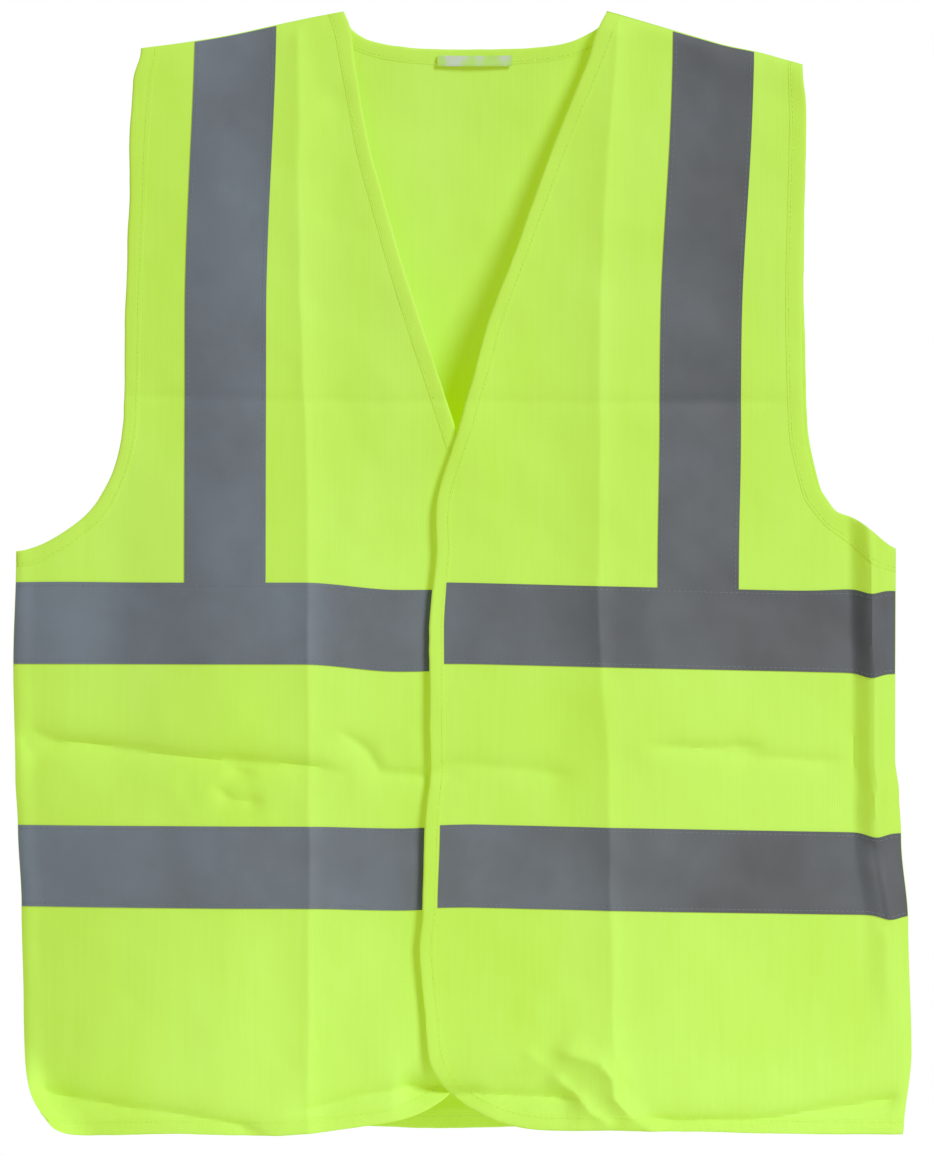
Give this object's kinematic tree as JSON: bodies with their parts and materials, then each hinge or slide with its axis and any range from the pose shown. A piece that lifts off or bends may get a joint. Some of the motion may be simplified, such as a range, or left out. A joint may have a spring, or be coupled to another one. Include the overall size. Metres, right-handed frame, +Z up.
{
  "type": "high visibility vest",
  "caption": "Sleeveless fluorescent yellow work vest with grey reflective tapes over the shoulders and around the torso, and an overlapping front that opens.",
  "frame": {"origin": "midway between the two neck points, in the plane of the shoulder and side seams", "axes": "+Z up along the back as the vest hangs, front towards -Y, the wearer's left towards +X"},
  "size_m": [0.546, 0.0876, 0.691],
  "materials": {
    "cloth": "knitted polyester, matte, fluorescent",
    "binding": "folded edge of the same cloth, matte, fluorescent",
    "tape": "glass bead reflective tape, satin grey",
    "patch": "touch fastener, hooked or looped pile",
    "label": "woven satin, blank"
  },
  "bodies": {
    "vest_body": {"back_panel": "cloth", "left_side_panel": "cloth", "right_side_panel": "cloth", "left_shoulder_tape_front": "tape", "right_shoulder_tape_front": "tape", "left_shoulder_tape_back": "tape", "right_shoulder_tape_back": "tape", "upper_tape_back": "tape", "lower_tape_back": "tape", "upper_tape_left_side": "tape", "upper_tape_right_side": "tape", "lower_tape_left_side": "tape", "lower_tape_right_side": "tape", "left_armhole_binding_front": "binding", "left_armhole_binding_back": "binding", "right_armhole_binding_front": "binding", "right_armhole_binding_back": "binding", "back_neck_binding": "binding", "back_hem_binding": "binding", "left_side_hem_binding": "binding", "right_side_hem_binding": "binding", "left_shoulder_seam": "binding", "right_shoulder_seam": "binding", "left_side_seam": "binding", "right_side_seam": "binding"},
    "outer_flap": {"outer_flap_panel": "cloth", "outer_flap_upper_tape": "tape", "outer_flap_lower_tape": "tape", "outer_flap_neck_binding": "binding", "outer_flap_front_binding": "binding", "upper_loop_patch": "patch", "lower_loop_patch": "patch"},
    "inner_flap": {"inner_flap_panel": "cloth", "inner_flap_upper_tape": "tape", "inner_flap_lower_tape": "tape", "inner_flap_neck_binding": "binding", "inner_flap_front_binding": "binding", "upper_hook_patch": "patch", "lower_hook_patch": "patch"},
    "label_tab": {"neck_label": "label"}
  },
  "joints": [
    {"name": "outer_flap_fold", "type": "hinge", "parent": "vest_body", "child": "outer_flap", "pos_m": [0.096, -0.00295, 0], "axis": [0, 0.0583, 0.9983], "range_deg": [0, 165]},
    {"name": "inner_flap_fold", "type": "hinge", "parent": "vest_body", "child": "inner_flap", "pos_m": [-0.096, -0.00295, 0], "axis": [0, -0.0583, -0.9983], "range_deg": [0, 165]},
    {"name": "label_flip", "type": "hinge", "parent": "vest_body", "child": "label_tab", "pos_m": [0, 0.00165, -0.0265], "axis": [-1, 0, 0], "range_deg": [0, 150]}
  ],
  "couplings": [
    {"joint": "inner_flap_fold", "follows": "outer_flap_fold", "ratio": 0.5}
  ]
}
